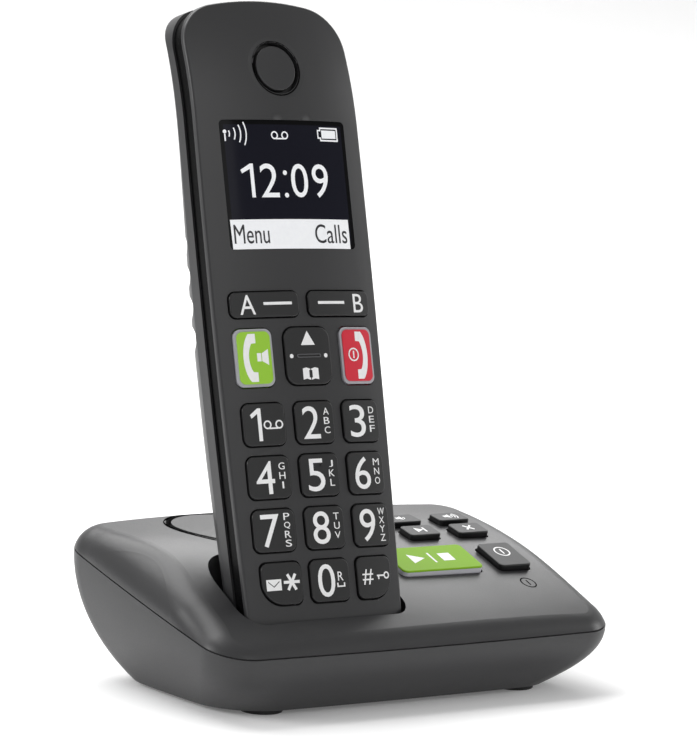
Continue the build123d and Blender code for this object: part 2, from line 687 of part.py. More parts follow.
base_top -= round_post(speaker_plane, speaker_hole, -8, 8)
seat_top, seat_low = -base_wall - 0.1, -base_wall - 4.0
seat = round_post(speaker_plane, speaker_radius + 0.2 + speaker_seat_wall, seat_low, seat_top)
seat += round_post(speaker_plane, speaker_hole + 1.3, seat_top - 0.1, -1.0) - round_post(
    speaker_plane, speaker_hole, -9, 9
)
base_top += seat - round_post(speaker_plane, speaker_radius + 0.2, -20, 9)
speaker_disc = wall_skin & round_post(speaker_plane, speaker_disc_radius, -8, 8)
speaker_top = -base_wall - 1.3
base_speaker = round_post(speaker_plane, speaker_radius, speaker_top - speaker_rim, speaker_top)
base_speaker += round_post(speaker_plane, 9.5, speaker_top - speaker_depth, speaker_top - speaker_rim)

# board and key mat under the keys, hung from posts of the top housing
board_plane = parting_plane.offset(base_board_gap)
plane_stretch = sqrt(1 + parting_slope ** 2)
board_width, board_length = board_right - board_left, (board_back - board_front) * plane_stretch
board_place = Pos((board_left + board_right) / 2, (board_front + board_back) / 2 * plane_stretch)
base_board = extrude(board_plane * board_place * Rectangle(board_width, board_length), amount=base_board_thick)
mat_plane = board_plane.offset(base_board_thick)
mat_place = board_place * Pos(0, base_mat_front / 2 - 0.5)
mat_sheet = Rectangle(board_width - 2, board_length - base_mat_front - 1)
base_mat = extrude(mat_plane * mat_place * mat_sheet, amount=base_mat_thick)
for x, y in board_posts:
    local = Pos(x, y * plane_stretch)
    base_mat -= extrude(mat_plane * local * Circle(board_post_radius + 0.3), amount=5)
    base_top += extrude(mat_plane * local * Circle(board_post_radius), amount=30) & top_prism(base_wall - 0.3)

# base keys
base_keys = {}


def base_key(name, x, row, size, corner=1.0):
    """Key standing on the slope: cap, flange under the wall and a stem to the mat."""
    global base_top
    y, turn = row_y[row], radians(row_tilt[row])
    plane = Plane((x, y, surface_height(wall_skin, x, y)), x_dir=(1, 0, 0), z_dir=(0, -sin(turn), cos(turn)))
    width, length = size
    cap = plane * solid_between(RectangleRounded(width, length, corner), -base_flange_depth, base_key_proud)
    cap = fillet(cap.faces().sort_by(Axis.Z)[-1].edges(), 0.35)
    grown = RectangleRounded(width + 2 * base_flange, length + 2 * base_flange, corner)
    flange = plane * solid_between(grown, -base_flange_depth - base_flange_thick, -base_flange_depth)
    stem = plane * solid_between(Rectangle(5.0, 4.6), -12, -base_flange_depth)
    above = extrude(mat_plane.offset(base_mat_thick + base_key_travel + 0.3) * Rectangle(300, 300), amount=60)
    opening = RectangleRounded(width + 2 * base_key_clear, length + 2 * base_key_clear, corner + base_key_clear)
    base_top -= plane * solid_between(opening, -7, 8)
    base_keys[name] = cap + flange + (stem & above)
    return plane


base_key("volume_down_key", column_x[1], 0, small_key)
base_key("volume_up_key", column_x[2], 0, small_key)
base_key("previous_key", column_x[0], 1, middle_key)
base_key("next_key", column_x[1], 1, middle_key)
base_key("delete_key", column_x[2], 1, middle_key)
base_key("power_key", column_x[2], 2, power_size, 1.2)
play_x = column_x[1] + middle_key[0] / 2 - play_size[0] / 2 + 0.2
play_plane = base_key("play_stop_key", play_x, 2, play_size, 1.5)

# translucent skirt of the play key, under its coloured cap
skirt_top = base_key_proud - 0.45
skirt_core = RectangleRounded(play_size[0] - 1.6, play_size[1] - 1.6, 1.0)
skirt_block = play_plane * solid_between(Rectangle(60, 60), -2.4, skirt_top)
skirt_block -= play_plane * solid_between(skirt_core, -3, 3)
play_rim = base_keys["play_stop_key"] & skirt_block
base_keys["play_stop_key"] -= skirt_block

# lower housing: sockets, posts and feet
base_bottom = hull_block - hull_cavity


def socket(x, size, mouth):
    """Modular socket with its mouth to the back."""
    width, length, height = size
    block = Pos(x, socket_face - length / 2, socket_low + height / 2) * Box(width, length, height)
    opening = Pos(x, socket_face - mouth_depth / 2, socket_low + height / 2)
    block -= opening * Box(mouth[0], mouth_depth, mouth[1])
    notch = Pos(x, socket_face - mouth_depth / 2, socket_low + height / 2 - mouth[1] / 2 - 0.6)
    return block - notch * Box(mouth[0] * 0.4, mouth_depth, 1.4)


line_socket = socket(line_x, line_size, line_mouth)
power_socket = socket(power_x, power_block, power_mouth)
for x, size in ((line_x, line_size), (power_x, power_block)):
    width, length, height = size
    port = Pos(x, socket_face + 10 - length / 2, socket_low + height / 2)
    base_bottom -= port * Box(width + 2 * socket_clear, length + 20, height + 2 * socket_clear)
    shelf_top = socket_low - 0.05
    shelf_low = foot_height + base_wall - 0.5
    shelf = Pos(x, socket_face - length + 3.5, (shelf_top + shelf_low) / 2)
    base_bottom += shelf * Box(width - 2, 6, shelf_top - shelf_low)

feet_places = [(side * foot[0], foot[1]) for foot in (front_foot, back_foot) for side in (-1, 1)]
foot_recess = 0.5
rubber_feet = Part()
for x, y in feet_places:
    foot = Pos(x, y, (foot_height + foot_recess) / 2) * Cylinder(foot_radius, foot_height + foot_recess)
    rubber_feet += fillet(foot.faces().sort_by(Axis.Z)[0].edges(), 0.4)
    base_bottom -= Pos(x, y, 0) * Cylinder(foot_radius + 0.1, 2 * (foot_height + foot_recess))

base_screws = Part()
for x, y, bite in base_screw_places:
    plane_z = parting_height(y)
    seat_z = plane_z - screw_web - screw_post_radius * parting_slope
    low = foot_height + foot_recess + 0.3
    post = Pos(x, y, (low + plane_z + 5) / 2) * Cylinder(screw_post_radius, plane_z + 5 - low)
    lower = post & hull_block
    base_bottom += lower
    base_bottom -= Pos(x, y, seat_z / 2) * Cylinder(screw_well_radius, seat_z)
    base_bottom -= Pos(x, y, plane_z) * Cylinder(base_shank_radius + 0.15, 20)
    upper = extrude(parting_plane * Pos(x, y * plane_stretch) * Circle(upper_post_radius), amount=30)
    base_top += upper & top_prism(base_wall - 0.3)
    pilot = Pos(x, y, plane_z + bite / 2 - 1) * Cylinder(base_shank_radius + 0.03, bite + 2)
    base_top -= pilot & extrude(parting_plane.offset(-1) * Rectangle(300, 300), amount=40)
    head = Pos(x, y, seat_z - base_head_height / 2) * Cylinder(base_head_radius, base_head_height)
    shank_end = plane_z + bite - 0.6
    base_screws += head + Pos(x, y, (seat_z + shank_end) / 2 - 0.05) * Cylinder(
        base_shank_radius, shank_end - seat_z + 0.1
    )

# charging pins in the floor of the well
charge_pins = {}
pin_tip = handset_bottom + contact_recess - pin_gap
floor_under = well_low - well_wall
for side, name in ((-1, "charge_pin_left"), (1, "charge_pin_right")):
    axis_plane = Plane((side * contact_x, 0, -contact_depth), x_dir=(1, 0, 0), z_dir=(0, 1, 0))
    pin = round_post(axis_plane, pin_radius, floor_under - 2.0, pin_tip)
    pin = fillet(pin.edges().sort_by(Axis.Y)[-1], 0.5)
    pin += round_post(axis_plane, pin_radius + 0.9, floor_under - 1.0, floor_under - 0.2)
    charge_pins[name] = place(pin)
    base_top -= place(round_post(axis_plane, pin_radius + pin_clear, floor_under - 1, well_low + 1))

# ---------------------------------------------------------------- write every node
nodes = {
    "base_top_housing": base_top,
    "base_bottom_housing": base_bottom,
    "speaker_disc": speaker_disc,
    "base_speaker": base_speaker,
    "base_board": base_board,
    "base_key_mat": base_mat,
    "line_socket": line_socket,
    "power_socket": power_socket,
    "rubber_feet": rubber_feet,
    "base_screws": base_screws,
    "play_stop_key_rim": play_rim,
}
nodes.update(base_keys)
nodes.update(charge_pins)
handset_nodes = {
    "handset_front_shell": front_shell,
    "handset_rear_shell": rear_shell,
    "side_band": side_band,
    "battery_door": battery_door,
    "display_window": display_window,
    "lcd_module": lcd_module,
    "handset_board": handset_board,
    "keypad_mat": keypad_mat,
    "earpiece_disc": earpiece_disc,
    "earpiece_receiver": earpiece_receiver,
    "handsfree_speaker": handsfree_speaker,
    "microphone": microphone,
    "battery_springs": battery_springs,
    "battery_contacts": contact,
    "charge_contacts": charge_contacts,
    "handset_screws": handset_screws,
}
handset_nodes.update(battery_cells)
handset_nodes.update({name: body for name, (body, hole) in keys.items()})
nodes.update({name: place(shape) for name, shape in handset_nodes.items()})

for name, shape in nodes.items():
    save(shape, name)
print(len(nodes), "nodes")
for name, (x, row) in {"row_0": (column_x[2], 0), "row_1": (column_x[2], 1), "row_2": (column_x[2], 2)}.items():
    print(name, round(surface_height(wall_skin, x, row_y[row]), 3))
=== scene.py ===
import json
import math

import bpy
from mathutils import Matrix, Vector
from mathutils.bvhtree import BVHTree


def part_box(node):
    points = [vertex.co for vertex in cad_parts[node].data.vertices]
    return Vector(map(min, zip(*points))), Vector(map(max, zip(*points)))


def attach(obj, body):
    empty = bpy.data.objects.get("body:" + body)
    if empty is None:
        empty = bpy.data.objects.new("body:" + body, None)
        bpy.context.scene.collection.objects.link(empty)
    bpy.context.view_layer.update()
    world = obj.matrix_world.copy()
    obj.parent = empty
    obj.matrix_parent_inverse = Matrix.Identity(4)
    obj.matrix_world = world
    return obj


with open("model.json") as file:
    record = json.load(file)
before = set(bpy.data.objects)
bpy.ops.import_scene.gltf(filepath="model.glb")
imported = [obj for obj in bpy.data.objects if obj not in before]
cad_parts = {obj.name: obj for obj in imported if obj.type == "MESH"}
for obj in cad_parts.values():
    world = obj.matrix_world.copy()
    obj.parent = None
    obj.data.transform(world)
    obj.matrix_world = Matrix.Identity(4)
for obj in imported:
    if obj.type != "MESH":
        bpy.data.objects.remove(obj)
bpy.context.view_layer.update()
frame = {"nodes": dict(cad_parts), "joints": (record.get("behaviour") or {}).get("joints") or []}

bpy.ops.object.select_all(action="DESELECT")

MM = 0.001
PROUD, SUNK = 0.04, 0.05        # how far printing stands out of a surface and reaches into it, in millimetres
nodes = frame["nodes"]
joints = {joint["name"]: joint for joint in frame["joints"]}

# ---------------------------------------------------------------- shader maths


class Wire:
    """A shader socket that takes Python arithmetic."""

    def __init__(self, finish, socket):
        self.finish = finish
        self.socket = socket

    def maths(self, operation, first, second=None):
        values = [first] if second is None else [first, second]
        return self.finish.node("ShaderNodeMath", {"operation": operation}, values)

    def __add__(self, other):
        return self.maths("ADD", self, other)

    def __sub__(self, other):
        return self.maths("SUBTRACT", self, other)

    def __rsub__(self, other):
        return self.maths("SUBTRACT", other, self)

    def __mul__(self, other):
        return self.maths("MULTIPLY", self, other)

    def __abs__(self):
        return self.maths("ABSOLUTE", self)


class Finish:
    """One material: a Principled shader and the nodes that feed it."""

    def __init__(self, name, roughness=0.5, **fixed):
        self.material = bpy.data.materials.new(name)
        self.material.use_nodes = True
        self.tree = self.material.node_tree
        self.shader = self.tree.nodes["Principled BSDF"]
        self.set("Roughness", roughness)
        for socket, value in fixed.items():
            self.set(socket.replace("_", " "), value)

    def node(self, kind, settings=None, inputs=None, output=0):
        """Add a node, make its settings, then fill its sockets; returns one output."""
        made = self.tree.nodes.new(kind)
        for name, value in (settings or {}).items():
            setattr(made, name, value)
        pairs = inputs.items() if isinstance(inputs, dict) else enumerate(inputs or [])
        for key, value in pairs:
            self.fill(made.inputs[key], value)
        return Wire(self, made.outputs[output])

    def fill(self, socket, value):
        if isinstance(value, Wire):
            self.tree.links.new(value.socket, socket)
        else:
            socket.default_value = value

    def set(self, name, value):
        self.fill(self.shader.inputs[name], value)

    def place(self):
        """The point on the object, in its own space."""
        return self.node("ShaderNodeTexCoord", output="Object")

    def noise(self, scale, detail=2.0):
        sockets = {"Vector": self.place(), "Scale": scale, "Detail": detail}
        return self.node("ShaderNodeTexNoise", {"noise_dimensions": "3D"}, sockets)

    def smooth(self, wire, low, high):
        """Steady rise from 0 to 1 as the wire goes from low to high."""
        settings = {"interpolation_type": "SMOOTHSTEP"}
        return self.node("ShaderNodeMapRange", settings, {"Value": wire, "From Min": low, "From Max": high})

    def along(self, axis, origin=(0, 0, 0)):
        """Distance of the point along an axis, from an origin."""
        moved = self.node("ShaderNodeVectorMath", {"operation": "SUBTRACT"}, [self.place(), tuple(origin)])
        return self.dot(moved, axis)

    def dot(self, vector, axis):
        settings = {"operation": "DOT_PRODUCT"}
        return self.node("ShaderNodeVectorMath", settings, [vector, tuple(axis)], output="Value")

    def colours(self, factor, first, second):
        settings = {"data_type": "RGBA"}
        return self.node("ShaderNodeMix", settings, {0: factor, 6: first, 7: second}, output=2)

    def bump(self, height, strength, distance):
        self.set("Normal", self.node("ShaderNodeBump", None, {
            "Height": height, "Strength": strength, "Distance": distance}))


def shade(colour, by):
    """A colour made lighter or darker, with its alpha."""
    return tuple(min(channel * by, 1.0) for channel in colour[:3]) + (1.0,)


def moulded(name, colour, roughness, grain=0.12, mottle=0.06, grain_scale=2600.0, **fixed):
    """Spark-eroded moulded plastic: fine grain, a faint mottle and a few polished patches."""
    finish = Finish(name, roughness, **fixed)
    fine = finish.noise(grain_scale, 3.0)
    broad = finish.noise(55.0)
    finish.set("Base Color", finish.colours(broad, shade(colour, 1 - mottle), shade(colour, 1 + mottle)))
    finish.set("Roughness", (fine - 0.5) * 0.12 + (broad - 0.5) * 0.06 + roughness)
    finish.bump(fine, grain, 0.00006)
    return finish.material


def painted(name, colour, roughness=0.4, glow=0.0, **fixed):
    """Thin printed ink with a slightly uneven coat."""
    finish = Finish(name, roughness, **fixed)
    uneven = finish.noise(900.0)
    finish.set("Base Color", finish.colours(uneven, shade(colour, 0.94), shade(colour, 1.02)))
    finish.set("Roughness", uneven * 0.1 + (roughness - 0.05))
    if glow:
        finish.set("Emission Color", colour)
        finish.set("Emission Strength", glow)
    return finish.material


def polished(name, colour, roughness=0.12, wave=0.02, **fixed):
    """Gloss plastic or varnish with the faint orange peel of a polished mould."""
    finish = Finish(name, roughness, **fixed)
    peel = finish.noise(420.0, 1.0)
    finish.set("Base Color", finish.colours(finish.noise(70.0), shade(colour, 0.9), shade(colour, 1.1)))
    finish.set("Roughness", peel * 0.06 + roughness)
    finish.bump(peel, wave, 0.0001)
    return finish.material


def metal(name, colour, roughness, grain=0.05):
    """Plated metal with fine drawing marks and slight tarnish."""
    finish = Finish(name, roughness, Metallic=1.0)
    marks = finish.noise(1800.0, 4.0)
    tarnish = finish.noise(160.0)
    finish.set("Base Color", finish.colours(tarnish, shade(colour, 0.82), shade(colour, 1.05)))
    finish.set("Roughness", marks * 0.2 + (roughness - 0.1))
    finish.bump(marks, grain, 0.00004)
    return finish.material


def capped(name, top, side, axis, roughness):
    """Key with its own colour on its outer face and a darker colour painted down its sides as shade."""
    finish = Finish(name, roughness)
    upward = finish.dot(finish.node("ShaderNodeTexCoord", output="Normal"), axis)
    on_top = finish.smooth(upward, 0.72, 0.9)
    fine = finish.noise(2600.0, 3.0)
    mottled = finish.colours(fine, shade(top, 0.94), shade(top, 1.06))
    # the sides take the darker colour as painted shade; the outer face keeps the key's own colour
    finish.set("Base Color", finish.colours(on_top, side, mottled))
    finish.set("Roughness", on_top * (roughness - 0.3) + fine * 0.1 + 0.25)
    finish.bump(fine, 0.1, 0.00006)
    return finish.material


# ---------------------------------------------------------------- places on the object


class Face:
    """A flat frame laid on a surface; its sizes are in millimetres."""

    def __init__(self, origin, right, up):
        self.origin = Vector(origin)
        self.right = Vector(right).normalized()
        self.up = Vector(up).normalized()
        self.out = self.right.cross(self.up)

    def point(self, x, y, z=0.0):
        return self.origin + (self.right * x + self.up * y + self.out * z) * MM

    def local(self, point):
        away = (point - self.origin) / MM
        return Vector((away.dot(self.right), away.dot(self.up), away.dot(self.out)))

    def moved(self, x, y, z=0.0):
        return Face(self.point(x, y, z), self.right, self.up)


def face_of(node, right, up):
    """The frame at the middle of a node's outer side."""
    probe = Face((0, 0, 0), right, up)
    corners = [probe.local(vertex.co) for vertex in nodes[node].data.vertices]
    low = [min(corner[i] for corner in corners) for i in range(3)]
    high = [max(corner[i] for corner in corners) for i in range(3)]
    return probe.moved((low[0] + high[0]) / 2, (low[1] + high[1]) / 2, high[2])


RIGHT = Vector((1, 0, 0))
handset_up = Vector(joints["handset_lift"]["axis"]).normalized()


def base_face(key):
    """Frame on top of a base key, which faces against its own travel."""
    out = -Vector(joints[key + "_press"]["axis"]).normalized()
    return face_of(key, RIGHT, out.cross(RIGHT))


def surface_of(node):
    """A node's surface, to lay printing on."""
    return BVHTree.FromObject(nodes[node], bpy.context.evaluated_depsgraph_get())


# ---------------------------------------------------------------- flat shapes


def ellipse(x, y, across, high=None, points=40, start=0.0, sweep=360.0):
    """Points round an ellipse, or along an arc of it."""
    high = across if high is None else high
    closed = sweep >= 360.0
    steps = points if closed else points - 1
    angles = [math.radians(start + sweep * i / steps) for i in range(points)]
    return [(x + across * math.cos(a), y + high * math.sin(a)) for a in angles]


def ring(x, y, outer, inner):
    return [ellipse(x, y, outer), ellipse(x, y, inner)]


def arc(x, y, outer, inner, start, sweep, points=16):
    """Part of a ring, as one outline."""
    there = ellipse(x, y, outer, points=points, start=start, sweep=sweep)
    back = ellipse(x, y, inner, points=points, start=start, sweep=sweep)
    return [there + back[::-1]]


def bar(x, y, width, height, turn=0.0):
    """A rectangle about its middle, turned by some degrees."""
    c, s = math.cos(math.radians(turn)), math.sin(math.radians(turn))
    corners = [(-width, -height), (width, -height), (width, height), (-width, height)]
    return [[(x + (a * c - b * s) / 2, y + (a * s + b * c) / 2) for a, b in corners]]


def pill(x, y, width, height):
    """A bar with round ends."""
    reach = (width - height) / 2
    right = ellipse(x + reach, y, height / 2, points=10, start=-90, sweep=180)
    left = ellipse(x - reach, y, height / 2, points=10, start=90, sweep=180)
    return [right + left]


def at(x, y, outlines, scale=1.0):
    """The outlines moved to a place, larger or smaller."""
    return [[(x + scale * a, y + scale * b) for a, b in outline] for outline in outlines]


def mirrored(outlines):
    return [[(-a, b) for a, b in outline] for outline in outlines]


# ---------------------------------------------------------------- solid pieces


def holds(outline, point):
    """Whether a closed outline has a point inside it."""
    inside = False
    for (ax, ay), (bx, by) in zip(outline, outline[1:] + outline[:1]):
        if (ay > point[1]) != (by > point[1]):
            if point[0] < ax + (point[1] - ay) * (bx - ax) / (by - ay):
                inside = not inside
    return inside


def span(outline):
    return max(x for x, _ in outline) - min(x for x, _ in outline)


def separate(outlines):
    """Sort outlines into shapes: one that lies wholly inside another goes with it, as a hole or an island."""
    shapes = []
    for outline in sorted(outlines, key=span, reverse=True):
        around = [shape for shape in shapes if all(holds(shape[0], point) for point in outline)]
        if around:
            around[0].append(outline)
        else:
            shapes.append([outline])
    return shapes


def to_mesh(name, thing):
    """Turn the text or curve just made into a mesh piece."""
    bpy.ops.object.select_all(action="DESELECT")
    thing.select_set(True)
    bpy.context.view_layer.objects.active = thing
    bpy.ops.object.convert(target="MESH")
    piece = bpy.context.object
    piece.name = piece.data.name = name
    return piece


def lettering(words, x, y, width, height):
    """Words filling a box about its middle, one millimetre thick."""
    bpy.ops.object.text_add()
    text = bpy.context.object
    text.data.body = words
    text.data.extrude = 0.5
    text.data.resolution_u = 5
    piece = to_mesh("lettering", text)
    points = [vertex.co for vertex in piece.data.vertices]
    low = [min(point[i] for point in points) for i in range(2)]
    high = [max(point[i] for point in points) for i in range(2)]
    for point in points:
        point.x = x + ((point.x - low[0]) / (high[0] - low[0]) - 0.5) * width
        point.y = y + ((point.y - low[1]) / (high[1] - low[1]) - 0.5) * height
    return piece


def flat_shape(outlines):
    """Filled outlines, one millimetre thick; an outline inside another is a hole."""
    curve = bpy.data.curves.new("outline", "CURVE")
    curve.dimensions = "2D"
    curve.fill_mode = "BOTH"
    curve.extrude = 0.5
    for outline in outlines:
        spline = curve.splines.new("POLY")
        spline.points.add(len(outline) - 1)
        for point, (x, y) in zip(spline.points, outline):
            point.co = (x, y, 0, 1)
        spline.use_cyclic_u = True
    thing = bpy.data.objects.new("outline", curve)
    bpy.context.scene.collection.objects.link(thing)
    return to_mesh("shape", thing)


def plate(x, y, width, height, steps):
    """A wide plate in narrow strips, so that it can follow a curved face."""
    bpy.ops.mesh.primitive_grid_add(x_subdivisions=steps, y_subdivisions=1, size=1, location=(0, 0, -0.5))
    piece = bpy.context.object
    bpy.ops.object.mode_set(mode="EDIT")
    bpy.ops.mesh.extrude_region_move(TRANSFORM_OT_translate={"value": (0, 0, 1)})
    bpy.ops.object.mode_set(mode="OBJECT")
    stretched = Matrix.Diagonal((width, height, 1, 1)) @ piece.matrix_world
    piece.data.transform(Matrix.Translation((x, y, 0)) @ stretched)
    piece.matrix_world = Matrix.Identity(4)
    return piece


def joined(name, parts):
    """Join pieces into one closed mesh whose faces point outwards."""
    bpy.ops.object.select_all(action="DESELECT")
    for part in parts:
        part.select_set(True)
    bpy.context.view_layer.objects.active = parts[0]
    if len(parts) > 1:
        bpy.ops.object.join()
    piece = bpy.context.object
    piece.name = piece.data.name = name
    tidy_mesh(piece)
    return piece


def tidy_mesh(piece, merge=0.0005):
    """Weld doubled corners and turn every face outwards."""
    bpy.context.view_layer.objects.active = piece
    bpy.ops.object.mode_set(mode="EDIT")
    bpy.ops.mesh.select_all(action="SELECT")
    bpy.ops.mesh.remove_doubles(threshold=merge)
    bpy.ops.mesh.normals_make_consistent(inside=False)
    bpy.ops.object.mode_set(mode="OBJECT")
    bpy.ops.object.select_all(action="DESELECT")


def cut_across(piece, step=1.6):
    """Cut a wide flat piece at even steps, so that it can follow a crowned face."""
    places = [vertex.co.x for vertex in piece.data.vertices]
    low, high = min(places), max(places)
    bpy.context.view_layer.objects.active = piece
    bpy.ops.object.mode_set(mode="EDIT")
    for cut in range(math.ceil(low / step), math.ceil(high / step)):
        bpy.ops.mesh.select_all(action="SELECT")
        bpy.ops.mesh.bisect(plane_co=(cut * step, 0, 0), plane_no=(1, 0, 0))
    bpy.ops.object.mode_set(mode="OBJECT")
    bpy.ops.object.select_all(action="DESELECT")


def drape(piece, face, surface, lift, sink=SUNK):
    """Lay a flat piece on a surface: its top stands proud by lift, its underside is sunk in."""
    for vertex in piece.data.vertices:
        x, y, z = vertex.co
        above = face.point(x, y, 8.0)
        hit, normal, _, _ = surface.ray_cast(above, -face.out)
        if hit is None:
            hit, normal, _, _ = surface.find_nearest(face.point(x, y))
        vertex.co = hit + face.out * (lift if z > 0 else -sink) * MM


def give(piece, material):
    """Make a material the piece's only one."""
    piece.data.materials.clear()
    piece.data.materials.append(material)
    for polygon in piece.data.polygons:
        polygon.material_index = 0


def legend(name, face, surface, ink, body, words=(), shapes=(), lift=PROUD):
    """Printed words and signs laid on a face, riding with its body."""
    parts = [lettering(*entry) for entry in words]
    parts += [flat_shape(shape) for shape in separate(shapes)]
    piece = joined(name, parts)
    cut_across(piece)
    drape(piece, face, surface, lift)
    give(piece, ink)
    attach(piece, body)
    return piece


# ---------------------------------------------------------------- materials
ANTHRACITE = (0.025, 0.025, 0.0262, 1)
# near-black painted as shade down the sides of the base keys
SIDE_SHADE_BLACK = (0.006, 0.006, 0.0065, 1)
BAND_BLACK = (0.003, 0.003, 0.0032, 1)
INK_BLACK = (0.002, 0.002, 0.002, 1)
KEY_BLACK = (0.006, 0.006, 0.0064, 1)
INK_WHITE = (0.86, 0.86, 0.86, 1)
CALL_GREEN = (0.29, 0.56, 0.026, 1)
END_RED = (0.61, 0.008, 0.03, 1)
FROSTED = (0.36, 0.36, 0.385, 1)

casing = moulded("anthracite_casing", ANTHRACITE, 0.36, mottle=0.035)
casing_low = moulded("anthracite_lower_casing", shade(ANTHRACITE, 1.1), 0.44, mottle=0.035)
gloss_band = polished("polished_black_band", BAND_BLACK, 0.22, Specular_IOR_Level=0.06)
key_cap = moulded("satin_black_keycap", KEY_BLACK, 0.42, grain=0.08)
base_out = -Vector(joints["next_key_press"]["axis"]).normalized()
# base keys: the casing colour on top, their sides painted darker as shade
shade_sided_base_key = capped("base_keycap", shade(ANTHRACITE, 1.02), SIDE_SHADE_BLACK, base_out, 0.5)
green_cap = moulded("green_keycap", CALL_GREEN, 0.36, grain=0.04, mottle=0.03)
red_cap = moulded("red_keycap", END_RED, 0.36, grain=0.04, mottle=0.03)
frosted_rim = moulded("frosted_key_rim", FROSTED, 0.34, grain=0.03, mottle=0.04)
ink = painted("white_ink", INK_WHITE)
# black ink for the printed power mark, also used for the painted shade in the gaps round the two discs
black_ink_and_gap_shade = painted("black_ink_and_gap_shade", INK_BLACK, 0.7, Specular_IOR_Level=0.0)
play_cap = moulded("green_play_keycap", shade(CALL_GREEN, 0.78), 0.5, grain=0.04, mottle=0.03,
                   Specular_IOR_Level=0.12)
play_skirt = moulded("frosted_play_skirt", shade(FROSTED, 1.7), 0.34, grain=0.03, mottle=0.04)
grey_ridge = moulded("grey_ridge", (0.085, 0.085, 0.09, 1), 0.4, grain=0.05)
lit = painted("lit_segments", (0.87, 0.88, 0.9, 1), 0.35, glow=0.12)
dark_segments = painted("dark_segments", (0.012, 0.012, 0.016, 1), 0.35)
dark_rubber = moulded("soft_rubber", (0.02, 0.02, 0.02, 1), 0.75, grain=0.3, mottle=0.12, grain_scale=900.0)
silicone = moulded("key_mat_silicone", (0.3, 0.3, 0.31, 1), 0.6, grain=0.1)
black_moulding = moulded("black_moulding", (0.018, 0.018, 0.018, 1), 0.45)
gold = metal("gold_flash", (0.78, 0.56, 0.24, 1), 0.25)
nickel = metal("nickel_plate", (0.66, 0.65, 0.62, 1), 0.3)
black_steel = metal("blackened_steel", (0.16, 0.16, 0.165, 1), 0.4)


def middle_of(node):
    """The middle of a node's box."""
    low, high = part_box(node)
    return (low + high) / 2


def display_glass():
    """Dark window: an inky blue display area inside a black printed border."""
    finish = Finish("display_window", 0.09, Specular_IOR_Level=0.08)
    middle = middle_of("display_window")
    half_width, half_height, soft = 18.4 * MM, 15.6 * MM, 0.25 * MM
    across = abs(finish.along(RIGHT, middle))
    upward = abs(finish.along(handset_up, middle))
    inside = finish.smooth(across, half_width, half_width - soft)
    inside = inside * finish.smooth(upward, half_height, half_height - soft)
    glowing = finish.colours(finish.noise(40.0), (0.008, 0.008, 0.014, 1), (0.0105, 0.011, 0.0175, 1))
    finish.set("Base Color", finish.colours(inside, (0.003, 0.003, 0.0035, 1), glowing))
    finish.set("Roughness", finish.noise(300.0) * 0.03 + 0.08)
    return finish.material


def circuit_board():
    """Green solder mask with copper runs showing through."""
    finish = Finish("solder_mask", 0.35)
    pitch = 0.0022
    runs = finish.node("ShaderNodeMath", {"operation": "PINGPONG"}, [finish.along(RIGHT), pitch])
    lines = finish.smooth(runs, pitch * 0.3, pitch * 0.4)
    patches = finish.noise(260.0)
    copper = lines * finish.smooth(patches, 0.45, 0.55)
    finish.set("Base Color", finish.colours(copper, (0.012, 0.13, 0.045, 1), (0.03, 0.22, 0.08, 1)))
    finish.bump(copper, 0.3, 0.00004)
    return finish.material


def cell_sleeve():
    """Printed sleeve of a rechargeable cell: a pale band round a blue body, bare metal ends."""
    finish = Finish("cell_sleeve", 0.3, Coat_Weight=0.3)
    middle = middle_of("battery_cell_left")
    way = finish.along(handset_up, middle)
    body = finish.smooth(abs(way), 21.6 * MM, 21.4 * MM)
    stripe = finish.smooth(way, 12.0 * MM, 12.2 * MM)
    sleeve = finish.colours(stripe, (0.03, 0.11, 0.26, 1), (0.55, 0.57, 0.58, 1))
    finish.set("Base Color", finish.colours(body, (0.6, 0.59, 0.56, 1), sleeve))
    finish.set("Metallic", 1 - body)
    finish.set("Roughness", finish.noise(500.0) * 0.1 + 0.28)
    return finish.material


window_finish = display_glass()
board_finish = circuit_board()
sleeve_finish = cell_sleeve()

NUMBER_KEYS = [f"key_{name}" for name in (1, 2, 3, 4, 5, 6, 7, 8, 9, "star", 0, "hash")]
BASE_KEYS = ("volume_down_key", "volume_up_key", "previous_key", "next_key", "delete_key", "power_key")
finishes = {
    casing: ("base_top_housing", "speaker_disc", "handset_front_shell", "handset_rear_shell", "battery_door",
             "earpiece_disc"),
    casing_low: ("base_bottom_housing",),
    gloss_band: ("side_band",),
    key_cap: (*NUMBER_KEYS, "soft_key_a", "soft_key_b", "nav_key"),
    shade_sided_base_key: BASE_KEYS,
    green_cap: ("talk_key",),
    play_cap: ("play_stop_key",),
    play_skirt: ("play_stop_key_rim",),
    red_cap: ("end_key",),
    frosted_rim: ("talk_key_rim", "end_key_rim"),
    window_finish: ("display_window",),
    board_finish: ("handset_board", "base_board"),
    sleeve_finish: ("battery_cell_left", "battery_cell_right"),
    dark_rubber: ("rubber_feet",),
    silicone: ("keypad_mat", "base_key_mat"),
    black_moulding: ("base_speaker", "earpiece_receiver", "handsfree_speaker", "microphone", "line_socket",
                     "power_socket", "lcd_module"),
    gold: ("charge_contacts", "charge_pin_left", "charge_pin_right"),
    nickel: ("battery_springs", "battery_contacts"),
    black_steel: ("handset_screws", "base_screws"),
}
for material, names in finishes.items():
    for name in names:
        give(nodes[name], material)

# ---------------------------------------------------------------- legends of the number keys
DIGIT_WIDTH, DIGIT_HEIGHT = 5.2, 8.3
DIGIT_X = -1.3
LETTER_X, LETTER_WIDTH, LETTER_HEIGHT = 3.55, 1.75, 1.75


def stacked(letters):
    """Letters of a number key, one under another at its right."""
    pitch = 2.4 if len(letters) == 3 else 2.25
    top = 2.75 if len(letters) == 3 else 3.4
    narrow = {"I": 0.45, "M": 2.05, "W": 2.3, "J": 1.2, "L": 1.4}
    return [
        (letter, LETTER_X, top - pitch * row, narrow.get(letter, LETTER_WIDTH), LETTER_HEIGHT)
        for row, letter in enumerate(letters)
    ]


